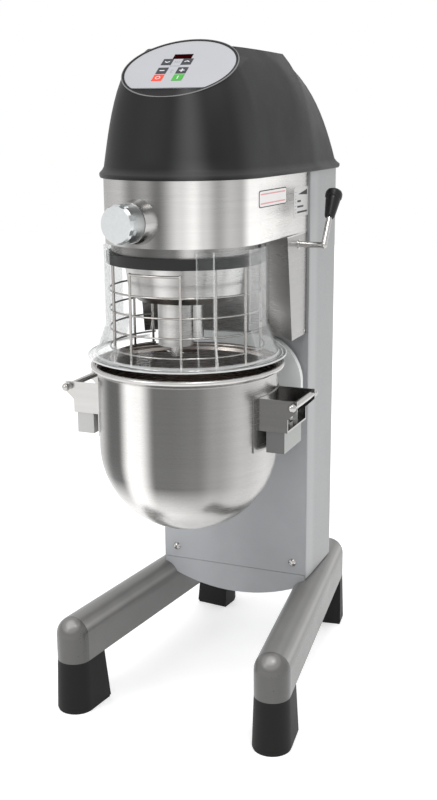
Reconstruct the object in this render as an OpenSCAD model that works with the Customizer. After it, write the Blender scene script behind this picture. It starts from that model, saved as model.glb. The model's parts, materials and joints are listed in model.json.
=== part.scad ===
// Floor-standing planetary mixer: splayed legs, column, head, guard and a bowl on a lifting fork.
// Millimetres, +Z up. The front of the machine faces -Y and its right side faces +X.
// The origin lies on the floor, under the middle of the machine's outline.

/* [Planetary head] */
// Distance of the mixing axis in front of the origin
axis_forward = 180; // [150:1:210]
// Radius of the tool spindle's free end
tool_r = 12; // [8:0.5:14]
// Height of the tool spindle's free end above the floor
tool_end_z = 838; // [830:1:845]
// Outer radius of the rotating drum at its top
drum_r = 133; // [125:1:140]

/* [Bowl] */
// Outer radius of the bowl wall
bowl_r = 195; // [190:1:196]
// Outer radius over the rolled rim
rim_r = 210; // [206:1:212]
// Height of the rim above the floor with the bowl raised
rim_z = 815; // [812:1:818]
// Thickness of the bowl wall
bowl_wall = 2; // [1.5:0.5:4]
// Height of the middle of the round bottom
bowl_mid_z = 633; // [625:1:640]
// Distance that the bowl lowers
lift_travel = 124.7; // [100:0.1:124.7]

/* [Base] */
// Distance of a front leg end from the middle
leg_front_x = 240; // [235:1:245]
// Distance of a rear leg end from the middle
leg_rear_x = 157.5; // [155:0.5:160]
// Position of the front leg ends, measured back from the mixing axis
leg_front_y = -119; // [-125:1:-110]
// Position of the rear leg ends, measured back from the mixing axis
leg_rear_y = 558; // [550:1:565]
// Half width of a leg, and radius of its arched top
leg_r = 40; // [38:1:42]
// Height of the top of the legs
leg_top = 224; // [220:1:226]
// Height of the underside of the legs
leg_bottom = 124; // [110:1:130]
// Wall thickness of the legs
leg_wall = 4; // [2:0.5:6]
// Half width of a foot at the floor
foot_r = 44; // [42:1:46]
// Thickness of the rubber sole under a foot
sole_h = 5; // [3:1:10]

/* [Column] */
// Half width of the column
column_x = 190; // [189:1:192]
// Front of the column, measured back from the mixing axis
column_y = 265; // [264:1:266]
// Back of the column, measured back from the mixing axis
column_back_y = 497; // [495:1:500]
// Radius of the column's rear corners
column_corner = 45; // [20:1:60]
// Thickness of the column's sheet
sheet = 1.5; // [1:0.1:1.5]
// Height of the seam over the base beam
seam_z = 237; // [234:1:240]

/* [Head] */
// Radius of the round front of the head
head_r = 170; // [168:1:172]
// Half width of the neck
neck_x = 182; // [180:1:184]
// Height of the underside of the neck
neck_z = 839; // [838:1:842]
// Height of the underside of the head
head_z = 1073; // [1072:1:1074]
// Height of the top of the head, where the top cover starts
head_top = 1206; // [1204:1:1208]
// Thickness of the head's sheet
head_wall = 2; // [1.5:0.5:2]

/* [Top cover] */
// Height of the cover's flat top
cover_top = 1464; // [1460:1:1466]
// Tilt of the control panel
panel_tilt = 34; // [30:1:38]
// Half width of the oval control panel
panel_a = 124; // [120:1:126]
// Half length of the oval control panel
panel_b = 104; // [100:1:106]
// Travel of a key
key_travel = 0.8; // [0.5:0.1:0.8]

/* [Guard] */
// Radius to the middle of the guard's wires
wire_r = 165; // [164:1:166]
// Outer radius of the clear screen
screen_r = 176; // [175:1:178]
// Angle that the cage and the screen cover
guard_span = 260; // [240:1:260]

/* [Accessory hub] */
// Height of the hub's axis
hub_z = 1125; // [1122:1:1128]
// Direction of the hub, as an angle about the mixing axis
hub_angle = -100.6; // [-105:0.1:-90]
// Radius of the hub's socket
hub_bore_r = 19.05; // [15:0.05:22]

/* [Lift] */
// Height of the lift lever's shaft
lever_z = 1050; // [1048:1:1052]
// Angle of the raised lever above the horizontal
lever_rest = 56; // [50:1:60]

/* [Hidden] */
$fn = 96;
fit = 0.05;
// Gears: one module throughout, a fixed ring, a pinion on the tool spindle and a sector for the lift.
gear_module = 2.5;
ring_teeth = 72;
tool_teeth = 24;
lift_teeth = 52;
lever_y = 206;
leg_angle = atan2(leg_front_x - leg_rear_x, leg_rear_y - leg_front_y);
leg_len = norm([leg_front_x - leg_rear_x, leg_rear_y - leg_front_y]);
foot_len_front = 60;
foot_len_rear = 32;
foot_flare = 14;
panel_y = -21;
panel_z = 1424;
recess_a = panel_a - 5;
recess_b = panel_b - 5;
chord_v = -72;
bore_main = 17.5;
ring_r = ring_teeth * gear_module / 2;
pinion_r = tool_teeth * gear_module / 2;
// The pinion rolls inside the ring, which sets the tool spindle's distance from the mixing axis.
tool_offset = ring_r - pinion_r;
crown_teeth = 48;
hub_teeth = 16;
crown_r = crown_teeth * gear_module / 2;
hub_pinion_r = hub_teeth * gear_module / 2;
lift_r = lift_teeth * gear_module / 2;
rack_y = lever_y + lift_r;
rack_x = 158;
rack_w = 14;
arm_top = rim_z - 124.3;
arm_low = arm_top - 45.4;
plate_y = 60;
rod_x = 60;
rod_y = 320;
rod_r = 12;
motor_y = 360;
belt_z = 1246;
driven_r = 110;
motor_r = 22;
screw_x = 154;
screw_z = 267;
neck_screw_y = 252;
neck_screw_z = neck_z + 9;
gland_x = -120;
gland_z = 300;
pin_x = 223;
pin_y = [-35, 30];
handle_x = 263;
handle_z = arm_top + 58;
gas_x = -110;
pad_low = 694;
elbow_x = 240;
recess_d = 3;
// The column's sides bow in a little towards the front.
bow_len = 60;
bow_depth = 2.5;
bow_r = (bow_len * bow_len + bow_depth * bow_depth) / (2 * bow_depth);

// ---------- placing ----------
module at_axis() {
    translate([0, -axis_forward, 0]) children();
}
module on_leg(side) {
    translate([side * leg_front_x, leg_front_y, 0]) rotate([0, 0, side * leg_angle]) children();
}
module on_panel() {
    translate([0, panel_y, panel_z]) rotate([panel_tilt, 0, 0]) children();
}
module on_hub() {
    translate([0, 0, hub_z]) rotate([0, 0, hub_angle]) rotate([0, 90, 0]) children();
}
module both_sides() {
    children();
    mirror([1, 0, 0]) children();
}
module ring(r_out, r_in, h) {
    difference() {
        cylinder(r = r_out, h = h);
        translate([0, 0, -1]) cylinder(r = r_in, h = h + 2);
    }
}

// ---------- gear teeth ----------
// Point on an involute of base radius rb, at radius r, as [x, y] with its start on the X axis.
function inv_angle(rb, r) = let(p = sqrt(max(0, r * r / rb / rb - 1))) p * 180 / PI - atan(p);
function polar(r, a) = [r * cos(a), r * sin(a)];
// One tooth of an external gear, centred on angle mid. slack thins the tooth.
function tooth_points(n, mid, add, ded, slack) =
    let(rp = n * gear_module / 2, rb = rp * cos(20), rt = rp + add, rf = rp - ded,
        half = 90 / n - slack / rp * 180 / PI + inv_angle(rb, rp),
        r0 = max(rb, rf), steps = 4)
    concat(
        [polar(rf, mid - half + inv_angle(rb, r0))],
        [for (i = [0:steps]) let(r = r0 + (rt - r0) * i / steps) polar(r, mid - half + inv_angle(rb, r))],
        [for (i = [steps:-1:0]) let(r = r0 + (rt - r0) * i / steps) polar(r, mid + half - inv_angle(rb, r))],
        [polar(rf, mid + half - inv_angle(rb, r0))]);
function gear_points(n, first, count, phase, add, ded, slack) =
    [for (k = [first:first + count - 1]) each tooth_points(n, phase + k * 360 / n, add, ded, slack)];
module spur_2d(n, phase = 0) {
    polygon(gear_points(n, 0, n, phase, gear_module * 0.9, gear_module * 1.25, 0.09));
}

// ---------- base ----------
module leg_section(grow = 0) {
    translate([0, leg_top - leg_r]) circle(leg_r + grow);
    translate([-leg_r - grow, leg_bottom - grow])
        square([2 * (leg_r + grow), leg_top - leg_r - leg_bottom + grow]);
}
module leg_prism(grow = 0, extra = 0) {
    translate([0, leg_len + extra, 0]) rotate([90, 0, 0])
        linear_extrude(leg_len + 2 * extra) leg_section(grow);
}
module leg_tube() {
    difference() {
        leg_prism();
        leg_prism(-leg_wall, 1);
    }
}
module leg_dome(r, floor_z) {
    translate([0, 0, leg_top - leg_r]) sphere(r);
    translate([0, 0, floor_z]) cylinder(r = r, h = leg_top - leg_r - floor_z);
}
module leg_cap() {
    intersection() {
        difference() {
            leg_dome(leg_r, leg_bottom);
            leg_dome(leg_r - leg_wall, leg_bottom + leg_wall);
        }
        translate([-leg_r, -leg_r, leg_bottom]) cube([2 * leg_r, leg_r, leg_top]);
    }
}
module foot_plan(r, len) {
    circle(r, $fn = 48);
    translate([-r, 0]) square([2 * r, len]);
}
module foot_body(len) {
    hull() {
        translate([0, 0, leg_bottom - 1]) linear_extrude(1) foot_plan(leg_r, len);
        translate([0, 0, sole_h]) linear_extrude(1) foot_plan(foot_r, len + foot_flare);
    }
}
module front_end(side) {
    on_leg(side) children();
}
module rear_end(side) {
    on_leg(side) translate([0, leg_len, 0]) rotate([0, 0, 180]) children();
}
module left_leg() {
    color("#8c8c84") at_axis() on_leg(-1) leg_tube();
}
module right_leg() {
    color("#8c8c84") at_axis() on_leg(1) leg_tube();
}
module leg_end_caps() {
    color("#90908a") at_axis() for (side = [-1, 1]) {
        front_end(side) leg_cap();
        rear_end(side) leg_cap();
    }
}
module feet() {
    color("#2b2b2b") at_axis() for (side = [-1, 1]) {
        front_end(side) foot_body(foot_len_front);
        rear_end(side) foot_body(foot_len_rear);
    }
}
module foot_soles() {
    color("#1c1c1c") at_axis() for (side = [-1, 1]) {
        front_end(side) linear_extrude(sole_h) foot_plan(foot_r - 2, foot_len_front + foot_flare - 2);
        rear_end(side) linear_extrude(sole_h) foot_plan(foot_r - 2, foot_len_rear + foot_flare - 2);
    }
}
// The beam's lower edge is one shallow arc, and it saddles over the legs.
beam_x = column_x - bow_depth - sheet - 0.3;
module belly_outline(inset) {
    belly_r = 416;
    belly_low = 168;
    intersection() {
        translate([-beam_x + inset, belly_low]) square([2 * (beam_x - inset), seam_z - belly_low - inset]);
        translate([0, belly_low + belly_r]) circle(belly_r - inset);
    }
}
module base_beam() {
    beam_wall = 8;
    beam_front = column_y + 0.2;
    beam_back = 450;
    color("#8d9193") at_axis() difference() {
        translate([0, beam_back, 0]) rotate([90, 0, 0])
            linear_extrude(beam_back - beam_front) belly_outline(0);
        translate([0, beam_back - beam_wall, 0]) rotate([90, 0, 0])
            linear_extrude(beam_back - beam_front - 2 * beam_wall) belly_outline(beam_wall);
        for (side = [-1, 1]) on_leg(side) leg_prism(0.1, 5);
    }
}

// ---------- column ----------
module column_plan(inset) {
    hx = column_x - inset;
    y0 = column_y + sheet + inset;
    y1 = column_back_y - inset;
    r = column_corner - inset;
    bow_y = column_y + bow_len;
    translate([-hx, bow_y]) square([2 * hx, y1 - r - bow_y]);
    intersection() {
        translate([-hx, y0]) square([2 * hx, bow_y - y0 + 1]);
        translate([column_x - bow_r, bow_y]) circle(bow_r - inset, $fn = 360);
        translate([bow_r - column_x, bow_y]) circle(bow_r - inset, $fn = 360);
    }
    translate([-hx + r, y0]) square([2 * (hx - r), y1 - y0]);
    for (s = [-1, 1]) translate([s * (hx - r), y1 - r]) circle(r);
}
module column_cover() {
    low_z = 228;
    flange = 12;
    color("#aab0b4") at_axis() difference() {
        translate([0, 0, low_z]) linear_extrude(head_top - low_z) difference() {
            column_plan(0);
            column_plan(sheet);
            translate([-column_x + sheet + flange, column_y]) square([2 * (column_x - sheet - flange), 8]);
        }
        translate([-column_x + bow_depth + sheet, column_y, low_z - 1])
            cube([2 * (column_x - bow_depth - sheet), 8, seam_z + 2 - low_z]);
        for (row = [0:9]) for (s = [-1, 1])
            translate([s * 60 - 40, column_back_y - 5, 420 + row * 16]) cube([80, 10, 6]);
        translate([gland_x, column_back_y - 5, gland_z]) rotate([-90, 0, 0]) cylinder(r = 10, h = 10);
    }
}
module front_panel() {
    slot_w = 34;
    slot_low = pad_low - lift_travel - 19.3;
    panel_half = column_x - bow_depth - 0.3;
    color("#8d9193") at_axis() difference() {
        translate([-panel_half, column_y, seam_z + 1])
            cube([2 * panel_half, sheet, neck_z - seam_z - 2]);
        for (s = [-1, 1]) {
            translate([s * rod_x - slot_w / 2, column_y - 1, slot_low])
                cube([slot_w, sheet + 2, 815 - slot_low]);
            translate([s * screw_x, column_y - 1, screw_z]) rotate([-90, 0, 0])
                cylinder(r = 4.2, h = sheet + 2);
        }
    }
}
module dome_screw(r, h, shank_r, shank_len) {
    difference() {
        union() {
            intersection() {
                translate([0, 0, h - r]) sphere(r);
                cylinder(r = r, h = h);
            }
            translate([0, 0, -shank_len]) cylinder(r = shank_r, h = shank_len);
        }
        translate([0, 0, h - 2]) cylinder(r = r * 0.3, h = 3, $fn = 6);
    }
}
module cover_screws() {
    color("#c4c6c8") at_axis() {
        for (s = [-1, 1]) translate([s * screw_x, column_y, screw_z]) rotate([90, 0, 0])
            dome_screw(11, 6.5, 4, 12);
        both_sides() translate([neck_x, neck_screw_y, neck_screw_z]) rotate([0, 90, 0])
            dome_screw(4, 2.6, 2, 8);
    }
}
module cable_gland() {
    color("#202020") at_axis() translate([gland_x, column_back_y, gland_z]) rotate([-90, 0, 0]) {
        difference() {
            union() {
                cylinder(r = 15, h = 6, $fn = 6);
                translate([0, 0, 6]) cylinder(r = 11, h = 12);
                translate([0, 0, -14]) cylinder(r = 9.7, h = 14);
            }
            translate([0, 0, -20]) cylinder(r = 5, h = 50);
        }
    }
}
module inner_frame() {
    post_w = 40;
    post_d = 60;
    post_y = 330;
    post_wall = 4;
    guide_low = 440;
    guide_high = 880;
    color("#6f7478") at_axis() {
        for (s = [-1, 1]) translate([s * 160 - post_w / 2, post_y, seam_z]) difference() {
            cube([post_w, post_d, head_z + 3 - seam_z]);
            translate([post_wall, post_wall, -1])
                cube([post_w - 2 * post_wall, post_d - 2 * post_wall, head_z + 8 - seam_z]);
        }
        for (z = [guide_low, guide_high]) difference() {
            translate([-140, rod_y - 20, z]) cube([280, post_y - rod_y + 34, 12]);
            for (s = [-1, 1]) translate([s * rod_x, rod_y, z - 1]) cylinder(r = rod_r + 0.02, h = 14);
        }
    }
}
module guide_rods() {
    color("#d0d0d0") at_axis() for (s = [-1, 1])
        translate([s * rod_x, rod_y, 440]) cylinder(r = rod_r, h = 452);
}
module control_box() {
    color("#3c4650") at_axis() difference() {
        translate([-80, 400, 300]) cube([160, 80, 100]);
        translate([-77, 403, 303]) cube([154, 80, 94]);
        for (k = [0:3]) translate([-60 + k * 40, 395, 290]) cylinder(r = 1.5, h = 5);
    }
}

// ---------- head ----------
module head_plan(inset) {
    circle(head_r - inset);
    polygon([[-head_r + inset, 0], [-neck_x + inset, column_y], [neck_x - inset, column_y],
        [head_r - inset, 0]]);
}
// The neck's front is a cone about the mixing axis, so that the guard can turn in front of it.
neck_high_r = norm([neck_x, 128]);
module neck_solid(inset) {
    neck_low_r = norm([neck_x, 164]);
    difference() {
        translate([-neck_x + inset, 100, neck_z + inset])
            cube([2 * (neck_x - inset), column_y - 100, head_z - neck_z - inset]);
        translate([0, 0, neck_z])
            cylinder(r1 = neck_low_r + inset, r2 = neck_high_r + inset, h = head_z - neck_z);
    }
}
// The way from the neck up into the head.
module neck_passage() {
    translate([0, 0, head_z - 1]) linear_extrude(head_wall + 2) difference() {
        intersection() {
            head_plan(head_wall);
            translate([-neck_x, 100]) square([2 * neck_x, column_y - 100]);
        }
        circle(neck_high_r + head_wall);
    }
}
module head_housing() {
    color("#c9c7c3") at_axis() difference() {
        union() {
            translate([0, 0, head_z]) linear_extrude(head_top - head_z) head_plan(0);
            neck_solid(0);
        }
        translate([0, 0, head_z + head_wall]) linear_extrude(head_top - head_z) head_plan(head_wall);
        translate([-neck_x + head_wall, column_y - 20, neck_z + head_wall])
            cube([2 * (neck_x - head_wall), 21, head_z - neck_z]);
        neck_solid(head_wall);
        neck_passage();
        translate([0, 0, head_z - 1]) cylinder(r = 148, h = 5);
        translate([170, lever_y, lever_z]) rotate([0, 90, 0]) cylinder(r = 12, h = 20);
        on_hub() translate([0, 0, 150]) cylinder(r = 28.3, h = 30);
        both_sides() translate([neck_x - 5, neck_screw_y, neck_screw_z]) rotate([0, 90, 0])
            cylinder(r = 2.2, h = 10);
    }
}
// Two plates joined by pillars. The lower one carries the bearing tube, the upper one the motor.
module head_frame() {
    frame_z = head_z + 3;
    frame_t = 12;
    plate_z = 1196;
    bearing_r = 36.02;
    color("#7c8084") at_axis() difference() {
        union() {
            translate([0, 0, frame_z]) linear_extrude(frame_t) {
                circle(160);
                translate([-148, 0]) square([296, 300]);
                translate([-180, 300]) square([360, 140]);
            }
            translate([0, 0, 1036]) cylinder(r = 46, h = frame_z + 1 - 1036);
            translate([138, lever_y - 16, 1025]) cube([8, 32, frame_z + 1 - 1025]);
            translate([-110, -70, plate_z]) cube([220, 510, 10]);
            translate([0, 0, plate_z - 14]) cylinder(r = 42, h = 15);
            for (x = [-95, 95]) for (y = [40, 280])
                translate([x, y, frame_z + 1]) cylinder(r = 9, h = plate_z - frame_z);
        }
        translate([0, 0, 1030]) cylinder(r = bearing_r, h = 70);
        translate([0, 0, plate_z - 15]) cylinder(r = bearing_r, h = 30);
        translate([130, lever_y, lever_z]) rotate([0, 90, 0]) cylinder(r = 9 + fit, h = 20);
        translate([0, motor_y, frame_z - 1]) cylinder(r = 74, h = frame_t + 2);
        translate([0, motor_y, plate_z - 1]) cylinder(r = 30, h = 12);
    }
}

// ---------- top cover ----------
cover_h = cover_top - head_top;
// How far the cover's side and its front lean in at a height, as fractions t of the cover's height.
function side_in(t) = 26 * t + 50 * pow(t, 4);
function front_in(t) = 104 * t;
function rear_in(t) = 45 * pow(t, 1.3);
function cover_outline(t, grow) =
    let(a = head_r + 2 - side_in(t) + grow, b = head_r + 2 - front_in(t) + grow,
        w = a + 18, e = rear_in(t), yc = 285, yr = column_back_y - 50 * t + grow, r = column_corner * 0.9,
        wr = w - e)
    concat(
        [for (k = [0:30]) [a * cos(180 + k * 6), b * sin(180 + k * 6)]],
        [for (k = [1:4]) [a + 18 * k / 4, yc * k / 4]],
        [for (k = [1:3]) [w - e * k / 4, yc + (yr - r - yc) * k / 4]],
        [for (k = [0:6]) [wr - r + r * cos(k * 15), yr - r + r * sin(k * 15)]],
        [for (k = [6:-1:0]) [-wr + r - r * cos(k * 15), yr - r + r * sin(k * 15)]],
        [for (k = [3:-1:1]) [-w + e * k / 4, yc + (yr - r - yc) * k / 4]],
        [for (k = [4:-1:1]) [-a - 18 * k / 4, yc * k / 4]]);
// The cover's top falls towards the rear.
rear_fall = 12;
function fall(y, t) = rear_fall * t * t * pow(max(0, y - 60) / 440, 1.5);
function lift(points, z, t = 0) = [for (p = points) [p.x, p.y, z - fall(p.y, t)]];
function shrink(points, s, cy) = [for (p = points) [p.x * s, cy + (p.y - cy) * s]];
// A closed skin through sections of equal point count, with a fan over each end.
module skin(sections, middle_y) {
    n = len(sections[0]);
    m = len(sections);
    low = n * m;
    high = low + 1;
    polyhedron(
        points = concat([for (s = sections) each s],
            [[0, middle_y, sections[0][0].z], [0, middle_y, sections[m - 1][0].z - fall(middle_y, 1)]]),
        faces = concat(
            [for (k = [0:n - 1]) [low, k, (k + 1) % n]],
            [for (j = [0:m - 2]) for (k = [0:n - 1])
                let(q = (k + 1) % n) each [[j * n + k, (j + 1) * n + k, (j + 1) * n + q],
                                           [j * n + k, (j + 1) * n + q, j * n + q]]],
            [for (k = [0:n - 1]) [high, (m - 1) * n + (k + 1) % n, (m - 1) * n + k]]));
}
module cover_loft(inset) {
    crown_y = 200;
    levels = 12;
    bead = inset > 0 ? [] : [[0, 4, 0], [0, 6, 4], [0, 6, 9], [0.04, 2, 15]];
    start = inset > 0 ? 0 : 1;
    skin(concat(
        [for (b = bead) lift(cover_outline(b[0], b[1]), head_top + b[2])],
        [for (j = [start:levels]) let(t = j / levels)
            lift(cover_outline(t, -inset), head_top + (cover_h - inset) * t - (j == 0 ? 1 : 0), t)],
        [for (s = [0.96, 0.8, 0.4])
            lift(shrink(cover_outline(1, -inset), s, crown_y), cover_top - inset + 6 * (1 - s * s), 1)]),
        crown_y);
}
module below_panel(drop) {
    on_panel() translate([-300, -500, -700 - drop]) cube([600, 1000, 700]);
}
module oval(a, b, h) {
    scale([a / b, 1, 1]) cylinder(r = b, h = h, $fn = 72);
}
module top_cover() {
    cover_wall = 4;
    color("#444446") at_axis() difference() {
        union() {
            intersection() {
                cover_loft(0);
                below_panel(0);
            }
            on_panel() translate([0, 0, -30]) oval(panel_a, panel_b, 30);
        }
        intersection() {
            cover_loft(cover_wall);
            below_panel(9);
        }
        on_panel() translate([0, 0, -recess_d]) oval(recess_a, recess_b, recess_d + 1);
        on_panel() translate([0, 0, -80]) oval(recess_a - 12, recess_b - 22, 74);
    }
}
display_v = 41;
key_w = 22;
key_h = 22;
key_x = [-35, 9];
key_v = [21, -11, -36.5];
module key_hole(x, v, slack) {
    translate([x - key_w / 2 - slack, v - key_h / 2 - slack, -5])
        cube([key_w + 2 * slack, key_h + 2 * slack, 10]);
}
module control_membrane() {
    color("#cfd2d5") at_axis() on_panel() difference() {
        translate([0, 0, -recess_d]) oval(recess_a - 0.5, recess_b - 0.5, 2);
        translate([-200, chord_v - 200, -10]) cube([400, 200, 20]);
        translate([-28, display_v - 9, -5]) cube([42, 18, 10]);
        for (x = key_x) for (v = key_v) key_hole(x, v, 0.3);
    }
}
module display_window() {
    color("#3a0c0c") at_axis() on_panel() translate([-27.7, display_v - 8.7, -recess_d])
        cube([41.4, 17.4, 1.7]);
}
module key(column, row) {
    key_low = key_travel + 0.2 - recess_d;
    at_axis() on_panel() translate([key_x[column] - key_w / 2, key_v[row] - key_h / 2, key_low])
        cube([key_w, key_h, 1.6]);
}
module speed_down_key() {
    color("#3c3f42") key(0, 0);
}
module speed_up_key() {
    color("#3c3f42") key(1, 0);
}
module time_down_key() {
    color("#3c3f42") key(0, 1);
}
module time_up_key() {
    color("#3c3f42") key(1, 1);
}
module stop_key() {
    color("#e5482f") key(0, 2);
}
module start_key() {
    color("#4fc24f") key(1, 2);
}

// ---------- drive ----------
module motor() {
    color("#5c666e") at_axis() translate([0, motor_y, 0]) difference() {
        union() {
            translate([0, 0, 950]) cylinder(r = 62, h = 230);
            translate([0, 0, 1180]) cylinder(r = 72, h = 16);
            for (k = [0:11]) rotate([0, 0, k * 30]) translate([58, -2, 965]) cube([11, 4, 200]);
        }
        translate([0, 0, 960]) cylinder(r = 13 + fit, h = 260);
    }
}
module motor_shaft() {
    color("#c8c8c8") at_axis() translate([0, motor_y, 965]) cylinder(r = 13, h = belt_z + 26 - 965);
}
module pulley(r, bore_r, h, web) {
    difference() {
        cylinder(r = r, h = h);
        translate([0, 0, -1]) cylinder(r = bore_r, h = h + 2);
        if (web) {
            translate([0, 0, -1]) ring(r - 12, bore_r + 14, 8);
            translate([0, 0, h - 7]) ring(r - 12, bore_r + 14, 8);
        }
    }
}
module motor_pulley() {
    color("#6c6c6c") at_axis() translate([0, motor_y, belt_z]) pulley(motor_r, 13.02, 24, false);
}
module driven_pulley() {
    color("#6c6c6c") at_axis() translate([0, 0, belt_z]) pulley(driven_r, bore_main + 0.02, 24, true);
}
// Outline of a belt over both pulleys, at a distance off their rims.
function belt_outline(off) =
    let(gap = driven_r - motor_r, lean = asin(gap / motor_y))
    concat([for (k = [0:36]) polar(driven_r + off, 180 - lean + k * (180 + 2 * lean) / 36)],
           [for (k = [0:24]) [0, motor_y] + polar(motor_r + off, lean + k * (180 - 2 * lean) / 24)]);
module drive_belt() {
    color("#1e1e1e") at_axis() translate([0, 0, belt_z + 2]) linear_extrude(20) difference() {
        polygon(belt_outline(4));
        polygon(belt_outline(0.4));
    }
}
module main_shaft() {
    color("#c8c8c8") at_axis() translate([0, 0, 874]) cylinder(r = bore_main, h = belt_z + 30 - 874);
}
module fixed_bearings() {
    color("#b8bcc0") at_axis() {
        for (z = [1040, 1068, 1186]) translate([0, 0, z]) ring(36, bore_main + fit, 16);
        on_hub() translate([0, 0, 154]) ring(16, 8 + fit, 12);
    }
}
module hub_crown_gear() {
    pitch_z = hub_z - hub_pinion_r;
    face = 12;
    color("#9a9488") at_axis() rotate([0, 0, hub_angle + 180 / crown_teeth]) difference() {
        union() {
            translate([0, 0, 1092]) cylinder(r = crown_r + 8, h = pitch_z - 3 - 1092);
            for (k = [0:crown_teeth - 1]) rotate([0, 0, k * 360 / crown_teeth])
                translate([crown_r - face / 2, 0, pitch_z]) rotate([90, 0, 90]) linear_extrude(face)
                    polygon([[-2.2, -3.4], [2.2, -3.4], [0.65, 1.9], [-0.65, 1.9]]);
        }
        translate([0, 0, 1080]) cylinder(r = bore_main + 0.02, h = 40);
    }
}
module ring_gear() {
    teeth_z = 1004;
    color("#9a9488") at_axis() {
        translate([0, 0, teeth_z]) linear_extrude(26) difference() {
            circle(100);
            polygon(gear_points(ring_teeth, 0, ring_teeth, 180 / ring_teeth,
                gear_module * 1.25, gear_module * 0.85, -0.09));
        }
        translate([0, 0, teeth_z + 26]) ring(100, 95, head_z + 3 - teeth_z - 26);
    }
}
module planet_drum() {
    drum_top = 1045;
    floor_z = 952;
    boss_low = 868;
    boss_r = 36;
    color("#bdbab6") at_axis() difference() {
        union() {
            difference() {
                union() {
                    translate([0, 0, 966]) cylinder(r1 = drum_r - 10, r2 = drum_r, h = drum_top - 966);
                    translate([0, 0, floor_z]) cylinder(r1 = 106, r2 = drum_r - 10, h = 14);
                }
                translate([0, 0, 966]) cylinder(r1 = drum_r - 15, r2 = drum_r - 5, h = drum_top - 965);
            }
            translate([0, 0, boss_low]) cylinder(r = boss_r, h = floor_z - boss_low + 2);
            translate([0, 0, 960]) cylinder(r = 30, h = 36);
            translate([0, -tool_offset, 862]) cylinder(r = boss_r + 1, h = floor_z - 860);
        }
        translate([0, 0, 800]) cylinder(r = bore_main + 0.02, h = 300);
        translate([0, -tool_offset, 866]) cylinder(r = 26.02, h = 200);
        translate([0, -tool_offset, 850]) cylinder(r = 15.5, h = 100);
    }
}
module tool_bearings() {
    color("#b8bcc0") at_axis() for (z = [867, 948])
        translate([0, -tool_offset, z]) ring(26, 15 + fit, 14);
}
pin_up = 7;
pin_r = 3.5;
module tool_spindle() {
    color("#d2d2d2") at_axis() translate([0, -tool_offset, 0]) difference() {
        union() {
            translate([0, 0, tool_end_z]) cylinder(r = tool_r, h = 864 - tool_end_z);
            translate([0, 0, 864]) cylinder(r = 15, h = 1003 - 864);
            translate([0, 0, 1003]) cylinder(r = 13, h = 29);
        }
        translate([-30, 0, tool_end_z + pin_up]) rotate([0, 90, 0]) cylinder(r = pin_r + 0.02, h = 60);
    }
}
module tool_pin() {
    color("#a8a8a8") at_axis() translate([-20, -tool_offset, tool_end_z + pin_up])
        rotate([0, 90, 0]) cylinder(r = pin_r, h = 40);
}
module tool_pinion() {
    color("#9a9488") at_axis() translate([0, -tool_offset, 1005]) linear_extrude(24) difference() {
        spur_2d(tool_teeth, 90 + 180 / tool_teeth);
        circle(13.02);
    }
}

// ---------- accessory hub ----------
module hub_housing() {
    color("#c4c2be") at_axis() difference() {
        on_hub() difference() {
            union() {
                translate([0, 0, 150]) cylinder(r = 28, h = 46);
                translate([0, 0, 150]) cylinder(r1 = 50, r2 = 40, h = 46);
                translate([0, 0, 150]) cylinder(r = 30, h = 66);
            }
            translate([0, 0, 172]) cylinder(r = hub_bore_r, h = 60);
            translate([0, 0, 140]) cylinder(r = 16.02, h = 60);
        }
        difference() {
            translate([0, 0, hub_z - 80]) cylinder(r = head_r + 0.1, h = 160);
            on_hub() cylinder(r = 28, h = 200);
        }
    }
}
module hub_shaft() {
    color("#c8c8c8") at_axis() on_hub() {
        difference() {
            translate([0, 0, 40]) cylinder(r = 8, h = 131);
            translate([-2, -9, 166]) cube([4, 18, 10]);
        }
        translate([0, 0, crown_r - 6]) rotate([0, 0, 90]) linear_extrude(12)
            difference() {
                polygon(gear_points(hub_teeth, 0, hub_teeth, 90, 1.9, 2.6, 0.35));
                circle(7.5);
            }
    }
}
module hub_cap() {
    notch_w = 12;
    color("#d6d6d6") at_axis() on_hub() difference() {
        union() {
            translate([0, 0, 197]) cylinder(r = 39, h = 36);
            translate([0, 0, 233]) cylinder(r1 = 39, r2 = 35.5, h = 7);
        }
        translate([0, 0, 196]) cylinder(r = 30 + fit, h = 21);
        for (k = [0:7]) rotate([0, 0, 22.5 + k * 45])
            translate([36, -notch_w / 2, 222]) cube([10, notch_w, 20]);
    }
}

// ---------- guard ----------
module guard_band() {
    color("#c9c7c3") at_axis() {
        translate([0, 0, 1046]) ring(158, 152, head_z - 1046);
        translate([0, 0, 1046]) ring(161, 156, 3);
    }
}
module guard_ring() {
    color("#232323") at_axis() difference() {
        translate([0, 0, 1031]) cylinder(r = 169, h = 22);
        translate([0, 0, 1030]) cylinder(r = 150, h = 30);
        translate([0, 0, 1045.7]) cylinder(r = 161.3, h = 3.6);
        translate([0, 0, 1049]) cylinder(r = 158.3, h = 10);
        translate([0, 0, 1045.7]) cylinder(r = 158.3, h = 5);
    }
}
module guard_arc(span, from) {
    rotate([0, 0, from]) rotate_extrude(angle = span) children();
}
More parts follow.
